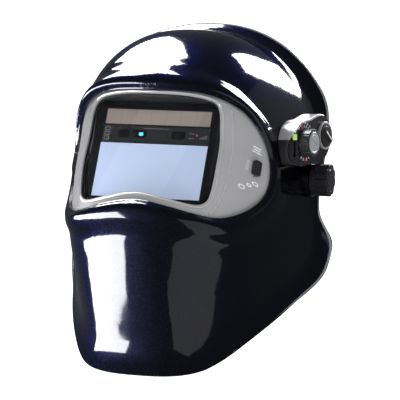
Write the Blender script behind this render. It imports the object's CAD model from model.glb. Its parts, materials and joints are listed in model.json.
# %% [markdown]
# # An auto-darkening welding helmet
# The helmet is a glossy dark blue shell that tips up on a ratchet headband. Every hard part
# comes in at its true size from the design program, as a fixed frame. This lesson gives each
# part its finish, and models the soft pads and the fine detail round them.

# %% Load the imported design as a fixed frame
import bpy
import json
import math
from mathutils import Matrix, Vector


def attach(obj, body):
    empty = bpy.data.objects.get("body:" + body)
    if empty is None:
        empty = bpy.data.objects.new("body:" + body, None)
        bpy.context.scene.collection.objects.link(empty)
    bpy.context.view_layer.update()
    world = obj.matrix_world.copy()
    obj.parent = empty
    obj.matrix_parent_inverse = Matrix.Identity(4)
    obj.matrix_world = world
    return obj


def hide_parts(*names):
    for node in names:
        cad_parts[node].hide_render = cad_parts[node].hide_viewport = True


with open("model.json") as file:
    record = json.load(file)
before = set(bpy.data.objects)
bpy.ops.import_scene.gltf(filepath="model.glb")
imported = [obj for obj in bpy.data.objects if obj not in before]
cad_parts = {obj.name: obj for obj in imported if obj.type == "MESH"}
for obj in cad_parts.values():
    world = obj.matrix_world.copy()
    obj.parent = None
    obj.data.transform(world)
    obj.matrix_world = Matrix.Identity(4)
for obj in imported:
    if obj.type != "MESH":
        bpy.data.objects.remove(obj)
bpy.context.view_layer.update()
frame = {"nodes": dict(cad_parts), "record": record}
nodes = frame["nodes"]
for material in list(bpy.data.materials):
    bpy.data.materials.remove(material)
bpy.ops.object.select_all(action="DESELECT")

# %% [markdown]
# ## Studio
# Lacquer shows its lights more than its colour, so the studio is a few large soft boxes in a
# dim room: one over each side of the crown, one low on the left, dim cards on the right, and
# a fill from the front that only matt parts see.
# The camera sees a white backdrop, while reflections see the dim room, as they would between
# black curtains. The helmet is shown tipped back, so the camera is set in a leaning frame.

# %% Camera at a low three-quarter view
LEAN = math.radians(16.0)
AZIMUTH = math.radians(20.06)
ELEVATION = math.radians(7.81)
EYE_DISTANCE = 1.985
GLASS_CENTRE = Vector((0.0, -0.113, -0.015))
GLASS_ASIDE = 0.0447
GLASS_BELOW = 0.0259
FOCAL_LENGTH = 205.1
SENSOR_WIDTH = 36.0


def camera_axes():
    """The camera's right, up and backward directions."""
    back = Vector((math.sin(AZIMUTH) * math.cos(ELEVATION),
                   -math.cos(AZIMUTH) * math.cos(ELEVATION), math.sin(ELEVATION)))
    right = Vector((math.cos(AZIMUTH), math.sin(AZIMUTH), 0.0))
    tip = Matrix.Rotation(LEAN, 3, "X")
    return tip @ right, tip @ back.cross(right), tip @ back


right, up, back = camera_axes()
eye = GLASS_CENTRE + GLASS_ASIDE * right - GLASS_BELOW * up + EYE_DISTANCE * back
camera_data = bpy.data.cameras.new("camera")
camera_data.lens = FOCAL_LENGTH
camera_data.sensor_width = SENSOR_WIDTH
camera_data.clip_start = 0.05
camera_data.clip_end = 50.0
camera = bpy.data.objects.new("camera", camera_data)
bpy.context.scene.collection.objects.link(camera)
camera.matrix_world = Matrix.Translation(eye) @ Matrix((right, up, back)).transposed().to_4x4()
bpy.context.scene.camera = camera
bpy.context.scene.view_settings.view_transform = "Standard"
print("camera stands at", [round(c, 3) for c in eye])


# %% Soft boxes, each given by its place, its long edge and how bright its face looks
HEAD_MIDDLE = Vector((0.0, -0.06, -0.02))


def soft_box(name, place, long_edge, length, width, glow, in_gloss=True, in_matt=True):
    """A rectangular lamp at place that faces the helmet; glow is the brightness of its face."""
    data = bpy.data.lights.new(name, "AREA")
    data.shape = "RECTANGLE"
    data.size = length
    data.size_y = width
    data.energy = glow * math.pi * length * width
    lamp = bpy.data.objects.new(name, data)
    bpy.context.scene.collection.objects.link(lamp)
    away = (Vector(place) - HEAD_MIDDLE).normalized()
    across = away.cross(Vector(long_edge)).normalized()
    along = across.cross(away)
    lamp.matrix_world = (Matrix.Translation(place)
                         @ Matrix((along, across, away)).transposed().to_4x4())
    lamp.visible_glossy = in_gloss
    lamp.visible_diffuse = in_matt
    lamp.visible_camera = False
    lamp.visible_transmission = False
    print(name, "is", length, "by", width, "m")


soft_box("crown_left_box", (-0.80, 0.30, 1.50), (-0.45, 0.9, 0), 1.35, 0.75, 24)
soft_box("crown_right_box", (0.72, 1.45, 1.50), (0.1, 1.0, 0), 1.25, 0.75, 24)
soft_box("low_left_box", (-1.00, -0.47, -0.49), (0, -1.0, -0.53), 1.54, 0.38, 20, in_matt=False)
soft_box("right_card", (1.10, -0.55, -0.98), (1.0, 0, 0), 1.3, 1.9, 0.55)
soft_box("right_back_card", (1.0, 1.2, 0.75), (1.0, -0.8, 0), 1.9, 1.0, 0.16)
soft_box("front_fill", (0.9, -2.0, 0.9), (1.0, 0, 0), 1.2, 1.2, 6.8, in_gloss=False)


# %% White backdrop for the camera, dim room for the reflections, soft sky for matt parts
COOL_WHITE = (0.86, 0.90, 1.0, 1.0)
PLAIN_WHITE = (1.0, 1.0, 1.0, 1.0)
ROOM_LIGHT = [(COOL_WHITE, 0.10, None), (PLAIN_WHITE, 0.40, "Is Diffuse Ray"),
              (PLAIN_WHITE, 1.6, "Is Camera Ray")]


def light_room():
    world = bpy.data.worlds.new("studio")
    bpy.context.scene.world = world
    world.use_nodes = True
    tree = world.node_tree
    tree.nodes.clear()
    path = tree.nodes.new("ShaderNodeLightPath")
    out = tree.nodes.new("ShaderNodeOutputWorld")
    shade = None
    for colour, strength, ray in ROOM_LIGHT:
        light = tree.nodes.new("ShaderNodeBackground")
        light.inputs["Color"].default_value = colour
        light.inputs["Strength"].default_value = strength
        if shade is None:
            shade = light.outputs[0]
            continue
        mix = tree.nodes.new("ShaderNodeMixShader")
        tree.links.new(path.outputs[ray], mix.inputs["Fac"])
        tree.links.new(shade, mix.inputs[1])
        tree.links.new(light.outputs[0], mix.inputs[2])
        shade = mix.outputs[0]
    tree.links.new(shade, out.inputs["Surface"])


light_room()
print("room light for reflections, matt parts and the camera:", [row[1] for row in ROOM_LIGHT])

# %% [markdown]
# ## Shared effects
# Most finishes share a few small effects: a fine grain, the pebbled skin that a spark-eroded
# mould gives to plastic, worn edges, dust, metal flake and a woven cloth. Each is a node
# group, made once and placed in every finish that needs it with its own values, so that one
# change reaches them all. A group gives only colours, masks, heights and normals; the shader
# stays in the finish.


# %% Helpers that lay out nodes
def add(tree, kind, **settings):
    """A new node of that kind; settings whose names are sockets set their values."""
    node = tree.nodes.new("ShaderNode" + kind)
    for name, value in settings.items():
        key = name.replace("_", " ").title()
        if key in node.inputs:
            node.inputs[key].default_value = value
        else:
            setattr(node, name, value)
    return node


def math_node(tree, operation, a, b=None):
    """One arithmetic step on sockets or numbers; gives its output socket."""
    node = tree.nodes.new("ShaderNodeMath")
    node.operation = operation
    for socket, value in zip(node.inputs, (a, b)):
        if value is None:
            continue
        if isinstance(value, (int, float)):
            socket.default_value = value
        else:
            tree.links.new(value, socket)
    return node.outputs[0]


def ramp(tree, fac, low, high, flip=False):
    """A smooth step of a value from 0 at low to 1 at high."""
    node = tree.nodes.new("ShaderNodeMapRange")
    node.interpolation_type = "SMOOTHSTEP"
    node.inputs["From Min"].default_value = low
    node.inputs["From Max"].default_value = high
    node.inputs["To Min"].default_value = 1.0 if flip else 0.0
    node.inputs["To Max"].default_value = 0.0 if flip else 1.0
    tree.links.new(fac, node.inputs["Value"])
    return node.outputs["Result"]


def mix_colour(tree, fac, a, b):
    """Mixes two colours, each a socket or a value, by a socket or a number."""
    node = tree.nodes.new("ShaderNodeMix")
    node.data_type = "RGBA"
    for socket, value in ((node.inputs[0], fac), (node.inputs[6], a), (node.inputs[7], b)):
        if isinstance(value, (int, float)):
            socket.default_value = value
        elif isinstance(value, (tuple, list)):
            socket.default_value = (*value[:3], 1.0)
        else:
            tree.links.new(value, socket)
    return node.outputs[2]


def new_group(name, inputs, outputs):
    """An empty shader node group with those sockets; gives the group, its start and its end."""
    group = bpy.data.node_groups.new(name, "ShaderNodeTree")
    for label, kind, value in inputs:
        socket = group.interface.new_socket(name=label, in_out="INPUT", socket_type="NodeSocket" + kind)
        if value is not None:
            socket.default_value = value
    for label, kind in outputs:
        group.interface.new_socket(name=label, in_out="OUTPUT", socket_type="NodeSocket" + kind)
    return group, group.nodes.new("NodeGroupInput"), group.nodes.new("NodeGroupOutput")


def place_group(tree, name, vector=None, **values):
    """Puts a shared effect in a finish, reading vector, with its own values."""
    node = tree.nodes.new("ShaderNodeGroup")
    node.node_tree = bpy.data.node_groups[name]
    if vector is not None:
        tree.links.new(vector, node.inputs["Vector"])
    for label, value in values.items():
        node.inputs[label.replace("_", " ").title()].default_value = value
    return node


# %% Fine grain: soft clouds and a close speckle
def build_grain():
    group, start, end = new_group("grain", [("Vector", "Vector", None), ("Size", "Float", 0.002)],
                                  [("Cloud", "Float"), ("Speckle", "Float")])
    scale = math_node(group, "DIVIDE", 1.0, start.outputs["Size"])
    fine = add(group, "TexNoise", detail=2.0)
    group.links.new(start.outputs["Vector"], fine.inputs["Vector"])
    group.links.new(scale, fine.inputs["Scale"])
    broad = add(group, "TexNoise", scale=22.0, detail=3.0)
    group.links.new(start.outputs["Vector"], broad.inputs["Vector"])
    group.links.new(broad.outputs[0], end.inputs["Cloud"])
    group.links.new(fine.outputs[0], end.inputs["Speckle"])


# %% Pebbled skin of spark-eroded plastic
def build_pebble():
    group, start, end = new_group("pebble", [("Vector", "Vector", None), ("Size", "Float", 0.0006)],
                                  [("Height", "Float")])
    scale = math_node(group, "DIVIDE", 1.0, start.outputs["Size"])
    cells = add(group, "TexVoronoi", feature="SMOOTH_F1")
    rough = add(group, "TexNoise", detail=2.0)
    for node in (cells, rough):
        group.links.new(start.outputs["Vector"], node.inputs["Vector"])
        group.links.new(scale, node.inputs["Scale"])
    height = math_node(group, "SUBTRACT", 1.0, cells.outputs["Distance"])
    height = math_node(group, "ADD", height, rough.outputs[0])
    group.links.new(height, end.inputs["Height"])


# %% Worn edges: where a rounded normal leans away from the true one
def build_edge_wear():
    group, start, end = new_group("edge_wear", [("Vector", "Vector", None), ("Radius", "Float", 0.0006)],
                                  [("Mask", "Float"), ("Normal", "Vector")])
    bevel = add(group, "Bevel", samples=4)
    group.links.new(start.outputs["Radius"], bevel.inputs["Radius"])
    true = add(group, "NewGeometry")
    dot = add(group, "VectorMath", operation="DOT_PRODUCT")
    group.links.new(bevel.outputs["Normal"], dot.inputs[0])
    group.links.new(true.outputs["Normal"], dot.inputs[1])
    lean = math_node(group, "SUBTRACT", 1.0, dot.outputs["Value"])
    noise = add(group, "TexNoise", scale=420.0, detail=3.0)
    group.links.new(start.outputs["Vector"], noise.inputs["Vector"])
    broken = ramp(group, noise.outputs[0], 0.38, 0.62)
    mask = math_node(group, "MULTIPLY", ramp(group, lean, 0.02, 0.22), broken)
    group.links.new(mask, end.inputs["Mask"])
    group.links.new(bevel.outputs["Normal"], end.inputs["Normal"])


# %% Dust that settles on faces that look up
def build_dust():
    group, start, end = new_group("dust", [("Vector", "Vector", None), ("Amount", "Float", 0.3)],
                                  [("Mask", "Float")])
    normal = add(group, "NewGeometry")
    parts = add(group, "SeparateXYZ")
    group.links.new(normal.outputs["Normal"], parts.inputs[0])
    upward = ramp(group, parts.outputs["Z"], 0.1, 1.0)
    noise = add(group, "TexNoise", scale=260.0, detail=4.0)
    group.links.new(start.outputs["Vector"], noise.inputs["Vector"])
    patch = ramp(group, noise.outputs[0], 0.42, 0.75)
    mask = math_node(group, "MULTIPLY", upward, patch)
    mask = math_node(group, "MULTIPLY", mask, start.outputs["Amount"])
    group.links.new(mask, end.inputs["Mask"])


# %% Metal flake: tiny cells, each leaning its own way
def build_flake():
    group, start, end = new_group("flake", [("Vector", "Vector", None), ("Size", "Float", 0.0004),
                                            ("Lean", "Float", 0.1)],
                                  [("Sparkle", "Float"), ("Normal", "Vector")])
    scale = math_node(group, "DIVIDE", 1.0, start.outputs["Size"])
    cells = add(group, "TexVoronoi")
    group.links.new(start.outputs["Vector"], cells.inputs["Vector"])
    group.links.new(scale, cells.inputs["Scale"])
    centred = add(group, "VectorMath", operation="SUBTRACT")
    group.links.new(cells.outputs["Color"], centred.inputs[0])
    centred.inputs[1].default_value = (0.5, 0.5, 0.5)
    scaled = add(group, "VectorMath", operation="SCALE")
    group.links.new(centred.outputs[0], scaled.inputs[0])
    group.links.new(start.outputs["Lean"], scaled.inputs["Scale"])
    normal = add(group, "NewGeometry")
    leaned = add(group, "VectorMath", operation="ADD")
    group.links.new(normal.outputs["Normal"], leaned.inputs[0])
    group.links.new(scaled.outputs[0], leaned.inputs[1])
    unit = add(group, "VectorMath", operation="NORMALIZE")
    group.links.new(leaned.outputs[0], unit.inputs[0])
    parts = add(group, "SeparateXYZ")
    group.links.new(cells.outputs["Color"], parts.inputs[0])
    group.links.new(ramp(group, parts.outputs["X"], 0.72, 1.0), end.inputs["Sparkle"])
    group.links.new(unit.outputs[0], end.inputs["Normal"])


# %% Woven cloth: two crossed sets of threads
def build_weave():
    group, start, end = new_group("weave", [("Vector", "Vector", None), ("Pitch", "Float", 0.0012)],
                                  [("Height", "Float"), ("Thread", "Float")])
    scale = math_node(group, "DIVIDE", math.pi, start.outputs["Pitch"])
    parts = add(group, "SeparateXYZ")
    group.links.new(start.outputs["Vector"], parts.inputs[0])
    waves = []
    for a, b in (("X", "Y"), ("Y", "Z"), ("Z", "X")):
        one = math_node(group, "SINE", math_node(group, "MULTIPLY", parts.outputs[a], scale))
        two = math_node(group, "SINE", math_node(group, "MULTIPLY", parts.outputs[b], scale))
        waves.append(math_node(group, "MULTIPLY", one, two))
    total = math_node(group, "ADD", math_node(group, "ADD", waves[0], waves[1]), waves[2])
    height = math_node(group, "MULTIPLY_ADD", total, 0.25)
    height.node.inputs[2].default_value = 0.5
    fuzz = add(group, "TexNoise", scale=900.0, detail=2.0)
    group.links.new(start.outputs["Vector"], fuzz.inputs["Vector"])
    soft = math_node(group, "ADD", math_node(group, "MULTIPLY", height, 0.7),
                     math_node(group, "MULTIPLY", fuzz.outputs[0], 0.3))
    group.links.new(soft, end.inputs["Height"])
    group.links.new(ramp(group, soft, 0.3, 0.7), end.inputs["Thread"])


for build in (build_grain, build_pebble, build_edge_wear, build_dust, build_flake, build_weave):
    build()
print("shared effects:", sorted(g.name for g in bpy.data.node_groups))

# %% [markdown]
# ## Finishes
# Every finish starts the same way: a Principled shader and the part's own Object coordinates,
# which are real distances, so that a grain of half a millimetre is half a millimetre on each
# part. Values that are the same all over are set on the shader itself.


# %% Helpers that start a finish
def start_finish(name, colour, roughness, metallic=0.0, **sockets):
    """A new material with a Principled shader; gives its node tree, shader and coordinates."""
    material = bpy.data.materials.new(name)
    material.use_nodes = True
    material.diffuse_color = (*colour, 1.0)
    tree = material.node_tree
    shader = tree.nodes["Principled BSDF"]
    shader.inputs["Base Color"].default_value = (*colour, 1.0)
    shader.inputs["Roughness"].default_value = roughness
    shader.inputs["Metallic"].default_value = metallic
    for label, value in sockets.items():
        shader.inputs[label.replace("_", " ").title().replace("Ior", "IOR")].default_value = value
    place = tree.nodes.new("ShaderNodeTexCoord").outputs["Object"]
    print("finish:", name)
    return tree, shader, place


def bump(tree, shader, height, distance, strength=1.0, normal=None):
    """Raises a height pattern, in metres, on the shader's normal."""
    node = tree.nodes.new("ShaderNodeBump")
    node.inputs["Distance"].default_value = distance
    node.inputs["Strength"].default_value = strength
    tree.links.new(height, node.inputs["Height"])
    if normal is not None:
        tree.links.new(normal, node.inputs["Normal"])
    tree.links.new(node.outputs["Normal"], shader.inputs["Normal"])


def vary_roughness(tree, shader, fac, low, high):
    """Roughness that wanders between low and high with a mask."""
    node = tree.nodes.new("ShaderNodeMapRange")
    node.inputs["To Min"].default_value = low
    node.inputs["To Max"].default_value = high
    tree.links.new(fac, node.inputs["Value"])
    tree.links.new(node.outputs[0], shader.inputs["Roughness"])


# %% [markdown]
# ### Shell lacquer
# The shell is moulded nylon, sprayed with a very dark blue metallic base coat and a clear
# gloss coat. The clear coat gives the sharp lights; the flakes below it lean at random, which
# spreads a blue glow round them. So the flake bends only the base normal, and the coat stays
# smooth.

# %% Shell lacquer
def shell_paint():
    tree, shader, place = start_finish(
        "shell_paint", (0.004, 0.005, 0.018), 0.40, 1.0, coat_weight=1.0, coat_roughness=0.075,
        coat_ior=1.52, specular_tint=(0.16, 0.18, 0.40, 1.0))
    flake = place_group(tree, "flake", place, size=0.00045, lean=0.12)
    grain = place_group(tree, "grain", place, size=0.02)
    body = mix_colour(tree, grain.outputs["Cloud"], (0.0030, 0.0034, 0.0085), (0.0044, 0.0050, 0.0135))
    colour = mix_colour(tree, flake.outputs["Sparkle"], body, (0.016, 0.019, 0.055))
    tree.links.new(colour, shader.inputs["Base Color"])
    tree.links.new(flake.outputs["Normal"], shader.inputs["Normal"])


shell_paint()


# %% [markdown]
# ### Silver surround and trims
# The window surround and the control unit's top are sprayed in a satin silver: fine metal
# powder under a thin matt lacquer. Metallic is kept part way, so that it still looks grey in
# shade, with a close speckle and a slightly uneven gloss.

# %% Silver finishes
def silver(name, colour, roughness, metallic):
    tree, shader, place = start_finish(name, colour, roughness, metallic,
                                       coat_weight=0.25, coat_roughness=0.25)
    grain = place_group(tree, "grain", place, size=0.0005)
    wear = place_group(tree, "edge_wear", place, radius=0.0007)
    dark = tuple(c * 0.86 for c in colour)
    light = tuple(min(1.0, c * 1.12) for c in colour)
    body = mix_colour(tree, grain.outputs["Speckle"], dark, light)
    body = mix_colour(tree, wear.outputs["Mask"], body, tuple(min(1.0, c * 1.6) for c in colour))
    tree.links.new(body, shader.inputs["Base Color"])
    vary_roughness(tree, shader, grain.outputs["Cloud"], roughness - 0.06, roughness + 0.06)
    bump(tree, shader, grain.outputs["Speckle"], 0.00002, 0.5, wear.outputs["Normal"])
    return tree, shader, place, body


silver("silver_paint", (0.33, 0.33, 0.335), 0.48, 0.25)
silver("lip_silver", (0.62, 0.62, 0.63), 0.30, 0.6)


# %% The control case: silver only along its top edge, black below
UNIT_CENTRE = Vector((0.1156, -0.037, 0.027))
UNIT_PITCH = math.radians(12.0)
UNIT_YAW = math.radians(-10.0)
UNIT_TURN = Matrix.Rotation(UNIT_YAW, 3, "Z") @ Matrix.Rotation(UNIT_PITCH, 3, "X")
BAND_HEIGHT = 0.0090
BAND_CLIMB = 0.32


def trim_silver():
    tree, shader, place, body = silver("trim_silver", (0.50, 0.50, 0.51), 0.30, 0.7)
    mapping = add(tree, "Mapping", vector_type="TEXTURE")
    mapping.inputs["Location"].default_value = UNIT_CENTRE
    mapping.inputs["Rotation"].default_value = UNIT_TURN.to_euler()
    tree.links.new(place, mapping.inputs["Vector"])
    parts = add(tree, "SeparateXYZ")
    tree.links.new(mapping.outputs[0], parts.inputs[0])
    # the band's lower edge climbs from the front end to the hump over the small knob
    edge = math_node(tree, "MULTIPLY_ADD", parts.outputs["Y"], BAND_CLIMB)
    edge.node.inputs[2].default_value = BAND_HEIGHT
    above = math_node(tree, "SUBTRACT", parts.outputs["Z"], edge)
    # the knob's disc and ring stand out in front of the face, and are silver all over
    proud = ramp(tree, parts.outputs["X"], -0.0006, -0.0004)
    mask = math_node(tree, "MAXIMUM", ramp(tree, above, -0.0003, 0.0003), proud)
    tree.links.new(mix_colour(tree, mask, (0.012, 0.012, 0.013), body), shader.inputs["Base Color"])
    tree.links.new(math_node(tree, "MULTIPLY", mask, 0.7), shader.inputs["Metallic"])


trim_silver()


# %% [markdown]
# ### Plastics and rubber
# The black parts differ by how their moulds were finished: polished for the filter housing
# and the pivot knob, spark-eroded for the knobs and sliders, and ground for the grey nylon
# headgear parts. One function makes them all from a colour, a gloss and a pebble size.

# %% Moulded plastics and rubber
def moulded(name, colour, roughness, pebble, height, wear=0.5, dust=0.25, **sockets):
    tree, shader, place = start_finish(name, colour, roughness, **sockets)
    skin = place_group(tree, "pebble", place, size=pebble)
    grain = place_group(tree, "grain", place, size=0.004)
    edge = place_group(tree, "edge_wear", place, radius=0.0005)
    fall = place_group(tree, "dust", place, amount=dust)
    body = mix_colour(tree, grain.outputs["Cloud"], tuple(c * 0.8 for c in colour),
                      tuple(c * 1.25 for c in colour))
    worn = tuple(min(1.0, c * 2.2 + 0.02) for c in colour)
    body = mix_colour(tree, math_node(tree, "MULTIPLY", edge.outputs["Mask"], wear), body, worn)
    body = mix_colour(tree, fall.outputs["Mask"], body, (0.30, 0.29, 0.27))
    tree.links.new(body, shader.inputs["Base Color"])
    vary_roughness(tree, shader, grain.outputs["Speckle"], max(0.02, roughness - 0.05), roughness + 0.05)
    bump(tree, shader, skin.outputs["Height"], height, 1.0, edge.outputs["Normal"])


moulded("black_gloss", (0.006, 0.006, 0.007), 0.17, 0.004, 0.000012, 1.0, 0.05)
moulded("black_matte", (0.012, 0.012, 0.013), 0.40, 0.0005, 0.00004)
moulded("grey_nylon", (0.060, 0.062, 0.068), 0.50, 0.0006, 0.00005)
moulded("strap_nylon", (0.030, 0.031, 0.034), 0.46, 0.0007, 0.00005)
moulded("gasket_rubber", (0.008, 0.008, 0.009), 0.62, 0.0008, 0.00004, 0.2, 0.2)
moulded("edge_bead", (0.13, 0.135, 0.16), 0.30, 0.004, 0.00001, 0.4, 0.0, coat_weight=1.0)
moulded("green_grip", (0.30, 0.52, 0.12), 0.38, 0.0006, 0.00003, 0.3, 0.1)


# %% [markdown]
# ### Metals
# Screws, springs, cell cans and the gear are bare metal. Turned and rolled metal has fine
# lines in one direction, so a noise pattern is stretched along one axis and used for a small
# change of gloss and height.

# %% Brushed and turned metals
def brushed(name, colour, roughness, stretch):
    tree, shader, place = start_finish(name, colour, roughness, 1.0)
    mapping = add(tree, "Mapping")
    mapping.inputs["Scale"].default_value = stretch
    tree.links.new(place, mapping.inputs["Vector"])
    lines = place_group(tree, "grain", mapping.outputs[0], size=0.0012)
    edge = place_group(tree, "edge_wear", place, radius=0.0003)
    body = mix_colour(tree, lines.outputs["Speckle"], tuple(c * 0.75 for c in colour), colour)
    body = mix_colour(tree, edge.outputs["Mask"], body, tuple(min(1.0, c * 1.3) for c in colour))
    tree.links.new(body, shader.inputs["Base Color"])
    vary_roughness(tree, shader, lines.outputs["Speckle"], roughness - 0.08, roughness + 0.10)
    bump(tree, shader, lines.outputs["Speckle"], 0.00002, 0.6, edge.outputs["Normal"])


brushed("screw_steel", (0.62, 0.62, 0.63), 0.26, (1, 1, 8))
brushed("spring_steel", (0.58, 0.59, 0.61), 0.30, (0.1, 1, 1))
brushed("cell_steel", (0.66, 0.67, 0.68), 0.24, (0.1, 1, 1))
brushed("brass_gear", (0.78, 0.56, 0.25), 0.30, (1, 0.15, 1))


# %% [markdown]
# ### The window
# From the front: a clear outer pane, the dark filter glass, a strip of solar cells and a
# printed display strip. Clear plastic must let the lamps light what is behind it, and bent
# light paths are slow and noisy, so the pane counts as open to shadow rays. The filter's
# mirror coating is pale blue, and slow bands in it come from the coating's thickness.

# %% Clear panes
def clear_pane():
    tree, shader, place = start_finish(
        "clear_pane", (0.97, 0.98, 0.985), 0.015, transmission_weight=1.0, ior=1.12)
    grain = place_group(tree, "grain", place, size=0.03)
    vary_roughness(tree, shader, grain.outputs["Cloud"], 0.0, 0.03)
    path = tree.nodes.new("ShaderNodeLightPath")
    open_pane = tree.nodes.new("ShaderNodeBsdfTransparent")
    mix = tree.nodes.new("ShaderNodeMixShader")
    tree.links.new(path.outputs["Is Shadow Ray"], mix.inputs["Fac"])
    tree.links.new(shader.outputs[0], mix.inputs[1])
    tree.links.new(open_pane.outputs[0], mix.inputs[2])
    tree.links.new(mix.outputs[0], tree.nodes["Material Output"].inputs["Surface"])


clear_pane()


# %% Filter glass, solar cells, display strip and light sensors
BAND_SLANT = -0.36
BAND_SOFT = 0.0004
WIDE_BAND = (-0.034, 0.062)
THIN_BAND = (-0.010, 0.020)


def slanted_bands(tree, place, edges):
    """Adds up soft-edged slanted bands: each is (where it starts, its width, its strength)."""
    parts = add(tree, "SeparateXYZ")
    tree.links.new(place, parts.inputs[0])
    slant = math_node(tree, "MULTIPLY_ADD", parts.outputs["Z"], BAND_SLANT)
    tree.links.new(parts.outputs["X"], slant.node.inputs[2])
    total = None
    for start, width, strength in edges:
        stop = start + width
        rise = ramp(tree, slant, start - BAND_SOFT, start + BAND_SOFT)
        fall = ramp(tree, slant, stop - BAND_SOFT, stop + BAND_SOFT, flip=True)
        band = math_node(tree, "MULTIPLY", math_node(tree, "MULTIPLY", rise, fall), strength)
        total = band if total is None else math_node(tree, "ADD", total, band)
    return total


def dark_glass():
    tree, shader, place = start_finish(
        "dark_glass", (0.42, 0.53, 0.74), 0.10, coat_weight=1.0, coat_roughness=0.01)
    # a mirror coating gives back the pale light of the room in front of it
    shader.inputs["Emission Color"].default_value = (0.72, 0.84, 1.0, 1.0)
    shader.inputs["Emission Strength"].default_value = 0.28
    bands = slanted_bands(tree, place, [(*WIDE_BAND, 0.55), (*THIN_BAND, 0.10)])
    grain = place_group(tree, "grain", place, size=0.05)
    body = mix_colour(tree, bands, (0.32, 0.40, 0.58), (0.38, 0.47, 0.65))
    patchy = math_node(tree, "MULTIPLY", grain.outputs["Cloud"], 0.12)
    body = mix_colour(tree, patchy, body, (0.5, 0.5, 0.8))
    tree.links.new(body, shader.inputs["Base Color"])


def solar_face():
    tree, shader, place = start_finish(
        "solar_face", (0.30, 0.26, 0.23), 0.22, coat_weight=1.0, coat_roughness=0.02)
    bands = slanted_bands(tree, place, [(*WIDE_BAND, 0.5)])
    parts = add(tree, "SeparateXYZ")
    tree.links.new(place, parts.inputs[0])
    # fine collector lines 2 mm apart, and a wider gap between cells every 14 mm
    fine = math_node(tree, "PINGPONG", math_node(tree, "ADD", parts.outputs["X"], 1.0), 0.001)
    lines = ramp(tree, fine, 0.00006, 0.00016, flip=True)
    wide = math_node(tree, "PINGPONG", math_node(tree, "ADD", parts.outputs["X"], 1.001), 0.007)
    gaps = ramp(tree, wide, 0.00015, 0.0003, flip=True)
    body = mix_colour(tree, bands, (0.30, 0.25, 0.22), (0.38, 0.32, 0.275))
    body = mix_colour(tree, math_node(tree, "MULTIPLY", lines, 0.15), body, (0.45, 0.40, 0.36))
    body = mix_colour(tree, math_node(tree, "MULTIPLY", gaps, 0.3), body, (0.10, 0.085, 0.075))
    tree.links.new(body, shader.inputs["Base Color"])


def strip_grey():
    tree, shader, place = start_finish(
        "strip_grey", (0.030, 0.031, 0.033), 0.30, coat_weight=0.6, coat_roughness=0.05)
    grain = place_group(tree, "grain", place, size=0.0008)
    body = mix_colour(tree, grain.outputs["Speckle"], (0.013, 0.014, 0.015), (0.024, 0.025, 0.027))
    tree.links.new(body, shader.inputs["Base Color"])
    vary_roughness(tree, shader, grain.outputs["Cloud"], 0.22, 0.36)


def sensor_eye():
    tree, shader, place = start_finish(
        "sensor_eye", (0.020, 0.006, 0.010), 0.04, coat_weight=1.0, coat_roughness=0.01)
    grain = place_group(tree, "grain", place, size=0.0006)
    body = mix_colour(tree, grain.outputs["Speckle"], (0.012, 0.004, 0.008), (0.05, 0.010, 0.018))
    tree.links.new(body, shader.inputs["Base Color"])


def board_green():
    tree, shader, place = start_finish(
        "board_green", (0.02, 0.16, 0.06), 0.35, coat_weight=0.5, coat_roughness=0.1)
    tracks = add(tree, "TexBrick", scale=180.0, mortar_size=0.012)
    tracks.inputs["Color1"].default_value = (0.012, 0.11, 0.04, 1)
    tracks.inputs["Color2"].default_value = (0.016, 0.14, 0.05, 1)
    tracks.inputs["Mortar"].default_value = (0.05, 0.30, 0.12, 1)
    tree.links.new(place, tracks.inputs["Vector"])
    tree.links.new(tracks.outputs["Color"], shader.inputs["Base Color"])
    bump(tree, shader, tracks.outputs["Fac"], 0.00003, 0.5)


for make in (dark_glass, solar_face, strip_grey, sensor_eye, board_green):
    make()


# %% [markdown]
# ### Sweatband cloth
# The brow pad and the rear pad are foam under a soft knitted cloth. The cloth has a close
# weave, a little fuzz that catches light at its edges, and a faint unevenness of colour.

# %% Cloth
def sweat_cloth():
    tree, shader, place = start_finish(
        "sweat_cloth", (0.045, 0.047, 0.052), 0.85, sheen_weight=0.5, sheen_roughness=0.5)
    weave = place_group(tree, "weave", place, pitch=0.0011)
    grain = place_group(tree, "grain", place, size=0.003)
    body = mix_colour(tree, weave.outputs["Thread"], (0.026, 0.027, 0.030), (0.075, 0.078, 0.085))
    patchy = math_node(tree, "MULTIPLY", grain.outputs["Cloud"], 0.35)
    body = mix_colour(tree, patchy, body, (0.05, 0.05, 0.055))
    tree.links.new(body, shader.inputs["Base Color"])
    bump(tree, shader, weave.outputs["Height"], 0.00035, 0.9)


sweat_cloth()

# %% [markdown]
# ## Finishes on the parts
# Each part of the frame names a material slot in its record, and the finish of the same name
# goes on it.

# %% Put each finish on its parts
slot_of = {part["node"]: part["material_slot"] for part in frame["record"]["subparts"]}


def dress(piece, name):
    """Gives a piece one finish."""
    piece.data.materials.clear()
    piece.data.materials.append(bpy.data.materials[name])


for name, piece in nodes.items():
    dress(piece, slot_of[name])
print("dressed", len(nodes), "parts")

# %% [markdown]
# ## Helpers for new pieces
# Small parts such as printed marks, light windows and beads are modelled flat in a part's own
# frame, where sizes are easy to read, and then carried to their place. The window parts lie in
# a plane tipped back a little, and the control unit's marks lie on its slanted face. A finished
# piece keeps its object at the origin, with its place in its mesh.

# %% The window's frame and the control face's frame
WINDOW_TIP = math.radians(11.4)
WINDOW_FRAME = Matrix.Translation(GLASS_CENTRE) @ Matrix.Rotation(-WINDOW_TIP, 4, "X")
UNIT_FRAME = Matrix.Translation(UNIT_CENTRE) @ UNIT_TURN.to_4x4()
SLIDER_BEND = (Matrix.Translation((-0.0025, -0.0149, 0.0))
               @ Matrix.Rotation(math.radians(-48.9), 4, "Z"))
MM = 0.001


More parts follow.
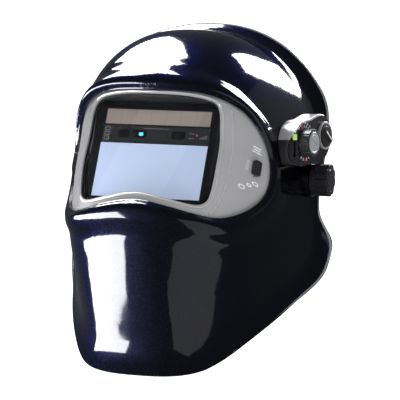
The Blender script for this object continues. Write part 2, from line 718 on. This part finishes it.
def finish_piece(piece, name, placing, finish, body):
    """Names a piece, carries its mesh to its place, and gives it a finish and a body."""
    bpy.context.view_layer.update()
    piece.name = name
    piece.data.name = name
    piece.data.transform(placing @ piece.matrix_world)
    piece.matrix_world = Matrix.Identity(4)
    dress(piece, finish)
    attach(piece, body)
    print(name, "has", len(piece.data.polygons), "faces and moves with", body)


def edit_all(select=True):
    """Goes to edit mode with everything selected, or nothing."""
    bpy.ops.object.mode_set(mode="EDIT")
    bpy.ops.mesh.select_all(action="SELECT" if select else "DESELECT")


def leave_edit():
    """Closes the shape: doubles merged, faces outward."""
    bpy.ops.mesh.select_all(action="SELECT")
    bpy.ops.mesh.remove_doubles(threshold=1e-6)
    bpy.ops.mesh.normals_make_consistent(inside=False)
    bpy.ops.object.mode_set(mode="OBJECT")


def plate(width, height, corner, thick, hollow=0.0, crown=0.0):
    """A thin rounded plate facing -Y, its back at y = 0; hollow leaves only a rim that wide."""
    bpy.ops.object.select_all(action="DESELECT")
    bpy.ops.mesh.primitive_plane_add(size=1.0, rotation=(math.pi / 2, 0, 0))
    bpy.ops.transform.resize(value=(width, 1.0, height))
    bpy.ops.object.transform_apply(location=True, rotation=True, scale=True)
    edit_all()
    bpy.ops.mesh.bevel(offset=corner, segments=4, affect="VERTICES")
    bpy.ops.mesh.select_all(action="SELECT")
    if hollow:
        bpy.ops.mesh.inset(thickness=hollow)
        bpy.ops.mesh.delete(type="FACE")
        bpy.ops.mesh.select_all(action="SELECT")
    bpy.ops.mesh.extrude_region_move(TRANSFORM_OT_translate={"value": (0, -thick, 0)})
    if crown:
        bpy.ops.mesh.inset(thickness=crown)
        bpy.ops.transform.translate(value=(0, -crown * 0.4, 0))
    leave_edit()
    return bpy.context.active_object


def card(width, height, corner, thick, **shape):
    """A plate whose sizes are given in millimetres."""
    shape = {name: value * MM for name, value in shape.items()}
    return plate(width * MM, height * MM, corner * MM, thick * MM, **shape)


def at(piece, across, upward):
    """Stands a flat piece at a place given in millimetres."""
    piece.location = (across * MM, 0, upward * MM)
    return piece


def join(pieces):
    """Joins several pieces into the first one."""
    bpy.ops.object.select_all(action="DESELECT")
    for piece in pieces:
        piece.select_set(True)
    bpy.context.view_layer.objects.active = pieces[0]
    if len(pieces) > 1:
        bpy.ops.object.join()
    bpy.ops.object.transform_apply(location=True, rotation=True, scale=True)
    return bpy.context.active_object


def tube(points, radius, closed=False):
    """A round bead along points, as a mesh."""
    line = bpy.data.curves.new("line", "CURVE")
    line.dimensions = "3D"
    line.bevel_depth = radius
    line.bevel_resolution = 3
    line.use_fill_caps = not closed
    spline = line.splines.new("POLY")
    spline.points.add(len(points) - 1)
    for knot, point in zip(spline.points, points):
        knot.co = (*point, 1.0)
    spline.use_cyclic_u = closed
    bead = bpy.data.objects.new("bead", line)
    bpy.context.scene.collection.objects.link(bead)
    bpy.ops.object.select_all(action="DESELECT")
    bead.select_set(True)
    bpy.context.view_layer.objects.active = bead
    bpy.ops.object.convert(target="MESH")
    bead = bpy.context.active_object
    edit_all()
    leave_edit()
    bpy.ops.object.shade_smooth()
    return bead


def through(points, steps, closed=False):
    """A smooth line through the points, as a Catmull-Rom curve."""
    count = len(points)
    spans = count if closed else count - 1
    result = []
    for k in range(spans):
        if closed:
            a, b, c, d = (points[(k + j) % count] for j in (-1, 0, 1, 2))
        else:
            b, c = points[k], points[k + 1]
            a = points[k - 1] if k else [2 * p - q for p, q in zip(b, c)]
            d = points[k + 2] if k + 2 < count else [2 * q - p for p, q in zip(b, c)]
        for j in range(steps):
            t = j / steps
            result.append([0.5 * (2 * q + (r - p) * t + (2 * p - 5 * q + 4 * r - s) * t * t
                                  + (3 * q - p - 3 * r + s) * t ** 3)
                           for p, q, r, s in zip(a, b, c, d)])
    if not closed:
        result.append(list(points[-1]))
    return result


IN_FRONT = 80 * MM


def drop_on(node, placing, across, upward, lift):
    """The point where a line square to the window plane meets a part, raised by lift."""
    start = placing @ Vector((across, -IN_FRONT, upward))
    aim = (placing.to_3x3() @ Vector((0, 1, 0))).normalized()
    hit, place, normal = nodes[node].ray_cast(start, aim)[:3]
    return place + normal * lift if hit else None


# %% [markdown]
# ## Beads and creases
# The shell's edge is rolled over into a round bead, so that it is stiff and doesn't cut, and
# that bead draws a thin line of light. The silver surround has a raised lip round the window
# and a moulded crease down each wing. Each is a round bead swept along a line found on the
# part's own surface, so that it always sits on it.

# %% Rolled edge of the shell
EDGE_BEAD = 1.5 * MM
EDGE_SINK = 1.1 * MM
EDGE_INSET = 1.2 * MM
EDGE_POINTS = 180
AIM_HEIGHT = -20.0 * MM
AIM_REACH = 350 * MM
BEHIND_ALL = 60 * MM
BEFORE_ALL = -120 * MM
STEP = 1.0 * MM


def shell_hit(turn, depth):
    """Where a line aimed inward at an angle round the face, at a depth, meets the shell."""
    aim = Vector((-math.sin(turn), 0, -math.cos(turn)))
    origin = Vector((0, depth, AIM_HEIGHT)) - aim * AIM_REACH
    hit, place, normal = nodes["helmet_shell"].ray_cast(origin, aim, distance=AIM_REACH)[:3]
    return (place, normal) if hit else None


def edge_point(turn):
    """A point just inside the shell's edge: comes from behind until the shell is met."""
    depth = BEHIND_ALL
    while depth > BEFORE_ALL and not shell_hit(turn, depth):
        depth -= STEP
    near, far = depth, depth + STEP
    for tries in range(8):
        middle = 0.5 * (near + far)
        if shell_hit(turn, middle):
            near = middle
        else:
            far = middle
    place, normal = shell_hit(turn, near - EDGE_INSET)
    return place - normal * EDGE_SINK


def evened(points, rounds):
    """A closed line of points with small steps smoothed out."""
    for k in range(rounds):
        points = [(points[j - 1] + points[j] * 2 + points[(j + 1) % len(points)]) / 4
                  for j in range(len(points))]
    return points


def rolled_edge():
    turns = [2 * math.pi * (k + 0.25) / EDGE_POINTS for k in range(EDGE_POINTS)]
    points = evened([edge_point(turn) for turn in turns], 2)
    steps = [(a - b).length for a, b in zip(points, points[1:] + points[:1])]
    bead = tube(points, EDGE_BEAD, closed=True)
    print("rolled edge's longest step is", round(max(steps) / MM, 1), "mm")
    finish_piece(bead, "shell_edge", Matrix.Identity(4), "edge_bead", "shell")


rolled_edge()

# %% Lip round the window and creases down the wings
WINDOW_LIP = [(0, 65.6), (36, 65.6), (54, 63.6), (59.8, 56.8), (62.4, 40), (63.8, 10), (62.8, -14.6),
              (59.4, -28.2), (50.6, -33.6), (30, -32.6), (0, -28.6)]
LIP_BEAD = 1.0 * MM
CREASE_BEAD = 0.9 * MM
CREASE_SINK = 0.2 * MM
CREASE = [(66, 61), (69, 44), (70.5, 18), (69.5, -6), (66, -24), (61, -36.5)]


def surround_beads():
    right_half = WINDOW_LIP[1:-1]
    ring = WINDOW_LIP + [(-x, z) for x, z in reversed(right_half)]
    ring = through([[x * MM, z * MM] for x, z in ring], 8, closed=True)
    spots = [drop_on("lens_surround", WINDOW_FRAME, x, z, 0.0) for x, z in ring]
    pieces = [tube([p for p in spots if p], LIP_BEAD, closed=True)]
    for side in (1, -1):
        line = through([[side * x * MM, z * MM] for x, z in CREASE], 10)
        spots = [drop_on("lens_surround", WINDOW_FRAME, x, z, -CREASE_SINK) for x, z in line]
        pieces.append(tube([p for p in spots if p], CREASE_BEAD))
    finish_piece(join(pieces), "surround_lip", Matrix.Identity(4),
                 "lip_silver", "shell")


surround_beads()

# %% [markdown]
# ## Print and lamps
# Marks on the object are a thin layer of flat ink, in white, grey or red, and the two small
# lamps are tinted plastic with a light behind it. Ink is never quite even, so a fine speckle
# darkens it here and there, and a lamp adds a weak glow of its own colour.

# %% Finishes for print and lamps
def flat_print(name, colour, glow=0.0):
    tree, shader, place = start_finish(name, colour, 0.45)
    grain = place_group(tree, "grain", place, size=0.0006)
    body = mix_colour(tree, grain.outputs["Speckle"], tuple(c * 0.85 for c in colour), colour)
    tree.links.new(body, shader.inputs["Base Color"])
    if glow:
        shader.inputs["Emission Color"].default_value = (*colour, 1.0)
        shader.inputs["Emission Strength"].default_value = glow


flat_print("print_white", (0.72, 0.73, 0.74))
flat_print("print_grey", (0.26, 0.265, 0.27))
flat_print("print_red", (0.55, 0.03, 0.03))
flat_print("lamp_cyan", (0.10, 0.62, 0.72), 0.7)
flat_print("lamp_red", (0.60, 0.05, 0.05), 0.5)

# %% [markdown]
# ## Marks on the wings
# Each wing carries a sensor slider, with printed marks above, below and beside it that show
# which way to push. They are plain bars, rings and ticks here. Each mark is modelled flat and
# then laid on the curved wing, point by point.

# %% Lay a flat piece on a part's surface
def lay_on(piece, node, placing, lift):
    """Moves each point along the window's depth to the part's surface, keeping its height."""
    apply_place(piece)
    for vertex in piece.data.vertices:
        place = drop_on(node, placing, vertex.co.x, vertex.co.z, lift - vertex.co.y)
        if place:
            vertex.co = placing.inverted() @ place
    return piece


def apply_place(piece):
    """Puts a piece's place in its mesh."""
    bpy.context.view_layer.update()
    piece.data.transform(piece.matrix_world)
    piece.matrix_world = Matrix.Identity(4)


# millimetres across from the middle and up, then a width
WING_BARS = [(84.0, 33.0, 5.0), (84.0, 35.1, 3.6), (84.0, 37.2, 4.4)]
WING_RINGS = [(85.4, 5.4, 3.2), (82.4, 1.8, 2.6), (78.6, -2.4, 3.6)]
WING_TICKS = [(80.4, 14.5 + 2.0 * k, 1.6) for k in range(5)]
INK = 0.08


def wing_marks():
    marks = []
    for side in (1, -1):
        for across, upward, width in WING_BARS:
            marks.append(at(card(width, 0.9, 0.2, INK), side * across, upward))
        for across, upward, width in WING_RINGS:
            ring = card(width, width, width * 0.45, INK, hollow=0.55)
            marks.append(at(ring, side * across, upward))
        for across, upward, width in WING_TICKS:
            marks.append(at(card(width, 0.4, 0.1, INK), side * across, upward))
    piece = lay_on(join(marks), "lens_surround", WINDOW_FRAME, 0.02 * MM)
    finish_piece(piece, "wing_marks", WINDOW_FRAME, "print_white", "shell")


wing_marks()

# %% [markdown]
# ## Display strip
# Between the solar cells and the dark glass is a printed strip. Small dark windows hide the
# light sensors and the state lamp, outlined symbols show the battery cells, and one red lamp
# warns. They are thin plates, laid on the strip.

# %% Strip windows, battery symbols and lamps
STRIP_FRONT = 1.6 * MM
STRIP_MID = 33.8
# millimetres across, then a width and a height
STRIP_WINDOWS = [(-29.6, 10.0, 7.6), (-15.2, 13.6, 7.4), (21.4, 12.8, 7.4)]
THICK_INK = 0.12


def on_strip(across, upward, lift=0.0):
    """A place on the strip's face, in the window's frame."""
    return WINDOW_FRAME @ Matrix.Translation((across * MM, STRIP_FRONT - lift * MM, upward * MM))


def strip_windows():
    windows = [at(card(width, height, 2.4, 0.25, crown=0.3), across, 0)
               for across, width, height in STRIP_WINDOWS]
    finish_piece(join(windows), "strip_windows", on_strip(0, STRIP_MID), "black_gloss", "shell")


def strip_symbols():
    symbols = [at(card(4.6, 3.4, 0.6, THICK_INK, hollow=0.45), -45.8, (k - 1) * 4.4)
               for k in range(3)]
    for k in range(6):
        rising_bar = card(0.5, 1.2 + 0.5 * k, 0.1, THICK_INK)
        symbols.append(at(rising_bar, 41.5 + 1.2 * k, -2.0 + 0.25 * k))
    for upward in (2.2, -2.2):
        symbols.append(at(card(5.0, 0.5, 0.1, THICK_INK), 33.5, upward))
    symbols.append(at(card(24.0, 0.35, 0.1, THICK_INK), 0, 5.6))
    finish_piece(join(symbols), "strip_symbols", on_strip(0, STRIP_MID),
                 "print_grey", "shell")


def strip_lamps():
    state = card(4.0, 3.2, 0.7, 0.2, crown=0.2)
    finish_piece(state, "state_lamp", on_strip(-13.5, STRIP_MID, 0.32),
                 "lamp_cyan", "shell")
    warning = card(1.6, 1.6, 0.7, 0.4, crown=0.2)
    finish_piece(warning, "warning_lamp", on_strip(38.4, STRIP_MID + 0.8),
                 "lamp_red", "shell")


strip_windows()
strip_symbols()
strip_lamps()

# %% [markdown]
# ## Marks on the controls
# The control face has printed ticks round the large knob, white for the shade scale and red at
# its ends, and a frame round the slider's slot. The small knob has a white pointer. A plate
# faces -Y, so a quarter turn about Z makes it face out of the unit.

# %% Scale ticks, slider frame and pointer
OUT_OF_FACE = Matrix.Rotation(math.radians(90), 4, "Z")
SHADE_TICKS = (-168, -152, -60, -44, -28, -12, 4, 150, 166)
END_TICKS = (20, 182)
SMALL_KNOB = (5.62, 37.6, 5.6)
POINTER_TURN = math.radians(50)
PROUD = 0.02


def in_mm(*place):
    """A shift given in millimetres."""
    return Matrix.Translation([value * MM for value in place])


def on_face(turn, reach, lift=PROUD):
    """A place on the control face, at an angle and distance from the large knob."""
    return (in_mm(lift, 0, 0) @ Matrix.Rotation(math.radians(turn), 4, "X")
            @ in_mm(0, 0, reach) @ OUT_OF_FACE)


def placed(piece, placing):
    """Stands a piece in a frame."""
    piece.matrix_world = placing
    return piece


def control_marks():
    white = [placed(card(0.7, 2.6, 0.2, THICK_INK), on_face(turn, 14.7)) for turn in SHADE_TICKS]
    red = [placed(card(1.3, 2.8, 0.3, 0.14), on_face(turn, 14.8)) for turn in END_TICKS]
    slot_line = card(3.0, 24.0, 1.2, THICK_INK, hollow=0.55)
    white.append(placed(slot_line, SLIDER_BEND @ in_mm(PROUD, 0, -1.2) @ OUT_OF_FACE))
    slot_dot = card(1.8, 1.8, 0.8, 0.14)
    white.append(placed(slot_dot, SLIDER_BEND @ in_mm(PROUD, 0, -15.6) @ OUT_OF_FACE))
    finish_piece(join(white), "scale_marks", UNIT_FRAME, "print_white", "shell")
    finish_piece(join(red), "scale_ends", UNIT_FRAME, "print_red", "shell")
    pointer = placed(card(0.9, 13.0, 0.3, THICK_INK),
                     in_mm(*SMALL_KNOB) @ Matrix.Rotation(POINTER_TURN, 4, "X") @ OUT_OF_FACE)
    finish_piece(join([pointer]), "mode_pointer", UNIT_FRAME,
                 "print_white", "mode_dial")


control_marks()

# %% [markdown]
# ### Numbers of the shade scale
# The numbers say how dark the filter turns. Text is made with the text tool, given a little
# thickness, and turned into a mesh before it is put in its place.

# %% Numbers of the shade scale
SHADE_NUMBERS = [("9", -66), ("10", -50), ("11", -34), ("12", -18), ("13", -4)]
NUMBER_SIZE = 2.6 * MM
NUMBER_REACH = 17.6
UPRIGHT = Matrix.Rotation(math.radians(90), 4, "X")


def number_label(text):
    bpy.ops.object.select_all(action="DESELECT")
    bpy.ops.object.text_add()
    label = bpy.context.active_object
    label.data.body = text
    label.data.size = NUMBER_SIZE
    label.data.align_x = "CENTER"
    label.data.align_y = "CENTER"
    label.data.extrude = 0.05 * MM
    bpy.ops.object.convert(target="MESH")
    return bpy.context.active_object


def scale_numbers():
    numbers = [placed(number_label(text), on_face(turn, NUMBER_REACH, 0.08) @ UPRIGHT)
               for text, turn in SHADE_NUMBERS]
    finish_piece(join(numbers), "scale_numbers", UNIT_FRAME,
                 "print_white", "shell")


scale_numbers()

# %% [markdown]
# ## Pads
# The brow pad and the rear pad are foam sewn into knitted cloth. Each starts from the space its
# solid holds, is remeshed evenly, and is blown up a little by a cloth simulation, which makes
# it crown between its edges. A cap on how far a point moves keeps it clear of its neighbours.
# Sewn channels are pressed in afterwards, because the even mesh would lose them.

# %% Swell a pad by cloth simulation
SIM_FRAMES = 20
PAD_PRESSURE = 4.0
PAD_SHRINK = 0.6 * MM
PAD_CAP = 1.4 * MM
CHANNEL_DEPTH = 0.9 * MM
CHANNEL_HALF_WIDTH = 3.5 * MM
BROW_SEAMS = [k * 18.5 * MM for k in range(-3, 4)]
NAPE_SEAMS = [-20 * MM, 0.0, 20 * MM]


def copy_of(node, name):
    """A loose copy of a part, with its doubles merged and its stored normals dropped."""
    pad = nodes[node].copy()
    pad.data = nodes[node].data.copy()
    pad.parent = None
    for key in list(pad.keys()):
        if key.startswith("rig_"):
            del pad[key]
    bpy.context.scene.collection.objects.link(pad)
    pad.name = name
    bpy.ops.object.select_all(action="DESELECT")
    pad.select_set(True)
    bpy.context.view_layer.objects.active = pad
    edit_all()
    bpy.ops.mesh.remove_doubles(threshold=2e-5)
    bpy.ops.mesh.customdata_custom_splitnormals_clear()
    bpy.ops.object.mode_set(mode="OBJECT")
    return pad


def swell(pad, voxel):
    """Remeshes a pad, pulls it in a little, and lets pressure crown it, within a cap."""
    remesh = pad.modifiers.new("even", "REMESH")
    remesh.mode = "VOXEL"
    remesh.voxel_size = voxel
    bpy.ops.object.modifier_apply(modifier="even")
    smooth = pad.modifiers.new("soften", "SMOOTH")
    smooth.factor = 0.5
    smooth.iterations = 3
    bpy.ops.object.modifier_apply(modifier="soften")
    for vertex, normal in [(v, v.normal.copy()) for v in pad.data.vertices]:
        vertex.co -= normal * PAD_SHRINK
    start = [v.co.copy() for v in pad.data.vertices]
    cloth = pad.modifiers.new("cloth", "CLOTH")
    cloth.settings.quality = 6
    cloth.settings.mass = 0.2
    cloth.settings.tension_stiffness = 12
    cloth.settings.compression_stiffness = 12
    cloth.settings.bending_stiffness = 0.4
    cloth.settings.use_pressure = True
    cloth.settings.uniform_pressure_force = PAD_PRESSURE
    cloth.settings.effector_weights.gravity = 0
    cloth.point_cache.frame_end = SIM_FRAMES
    for step in range(1, SIM_FRAMES + 1):
        bpy.context.scene.frame_set(step)
    bpy.context.view_layer.objects.active = pad
    bpy.ops.object.modifier_apply(modifier="cloth")
    bpy.context.scene.frame_set(1)
    moved = 0.0
    for vertex, old in zip(pad.data.vertices, start):
        move = vertex.co - old
        if move.length > PAD_CAP:
            vertex.co = old + move.normalized() * PAD_CAP
        moved = max(moved, min(move.length, PAD_CAP))
    print(pad.name, "swelled by", round(moved / MM, 2), "mm at most")


def press_channels(pad, seams):
    """Presses upright sewn channels into a pad at the seams' x."""
    for vertex, normal in [(v, v.normal.copy()) for v in pad.data.vertices]:
        for seam in seams:
            away = abs(vertex.co.x - seam)
            if away < CHANNEL_HALF_WIDTH:
                share = 0.5 + 0.5 * math.cos(math.pi * away / CHANNEL_HALF_WIDTH)
                vertex.co -= normal * CHANNEL_DEPTH * share


def subdivide_smooth(pad):
    """One round of subdivision, applied, with smooth shading."""
    refine = pad.modifiers.new("refine", "SUBSURF")
    refine.levels = 1
    refine.render_levels = 1
    bpy.ops.object.modifier_apply(modifier="refine")
    bpy.ops.object.shade_smooth()


def make_pad(node, name, voxel, seams):
    """Makes the sewn pad that stands for one soft part."""
    pad = copy_of(node, name)
    swell(pad, voxel)
    subdivide_smooth(pad)
    press_channels(pad, seams)
    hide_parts(node)
    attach(pad, "headgear")
    print(name, "has", len(pad.data.polygons), "faces")


make_pad("sweatband", "brow_pad", 2.2 * MM, BROW_SEAMS)
make_pad("rear_pad", "nape_pad", 1.8 * MM, NAPE_SEAMS)

# %% [markdown]
# ## Floor
# A pale floor well below the helmet, bright enough to run into the white backdrop. The
# lacquer doesn't mirror it, as a black card under the helmet would stop it.

# %% Floor
FLOOR_SIZE = 8.0
FLOOR_DEPTH = 1.15


def lay_floor():
    bpy.ops.object.select_all(action="DESELECT")
    bpy.ops.mesh.primitive_plane_add(size=FLOOR_SIZE, location=(0, 0, -FLOOR_DEPTH))
    floor = bpy.context.active_object
    floor.name = "floor"
    tree, shader, place = start_finish("floor_paper", (0.86, 0.86, 0.87), 0.8)
    grain = place_group(tree, "grain", place, size=0.01)
    body = mix_colour(tree, grain.outputs["Cloud"], (0.84, 0.84, 0.85), (0.88, 0.88, 0.89))
    tree.links.new(body, shader.inputs["Base Color"])
    shader.inputs["Emission Color"].default_value = (0.97, 0.97, 0.98, 1.0)
    shader.inputs["Emission Strength"].default_value = 0.8
    dress(floor, "floor_paper")
    floor.visible_glossy = False
    print("the floor is", FLOOR_SIZE, "m wide,", FLOOR_DEPTH, "m down")


lay_floor()
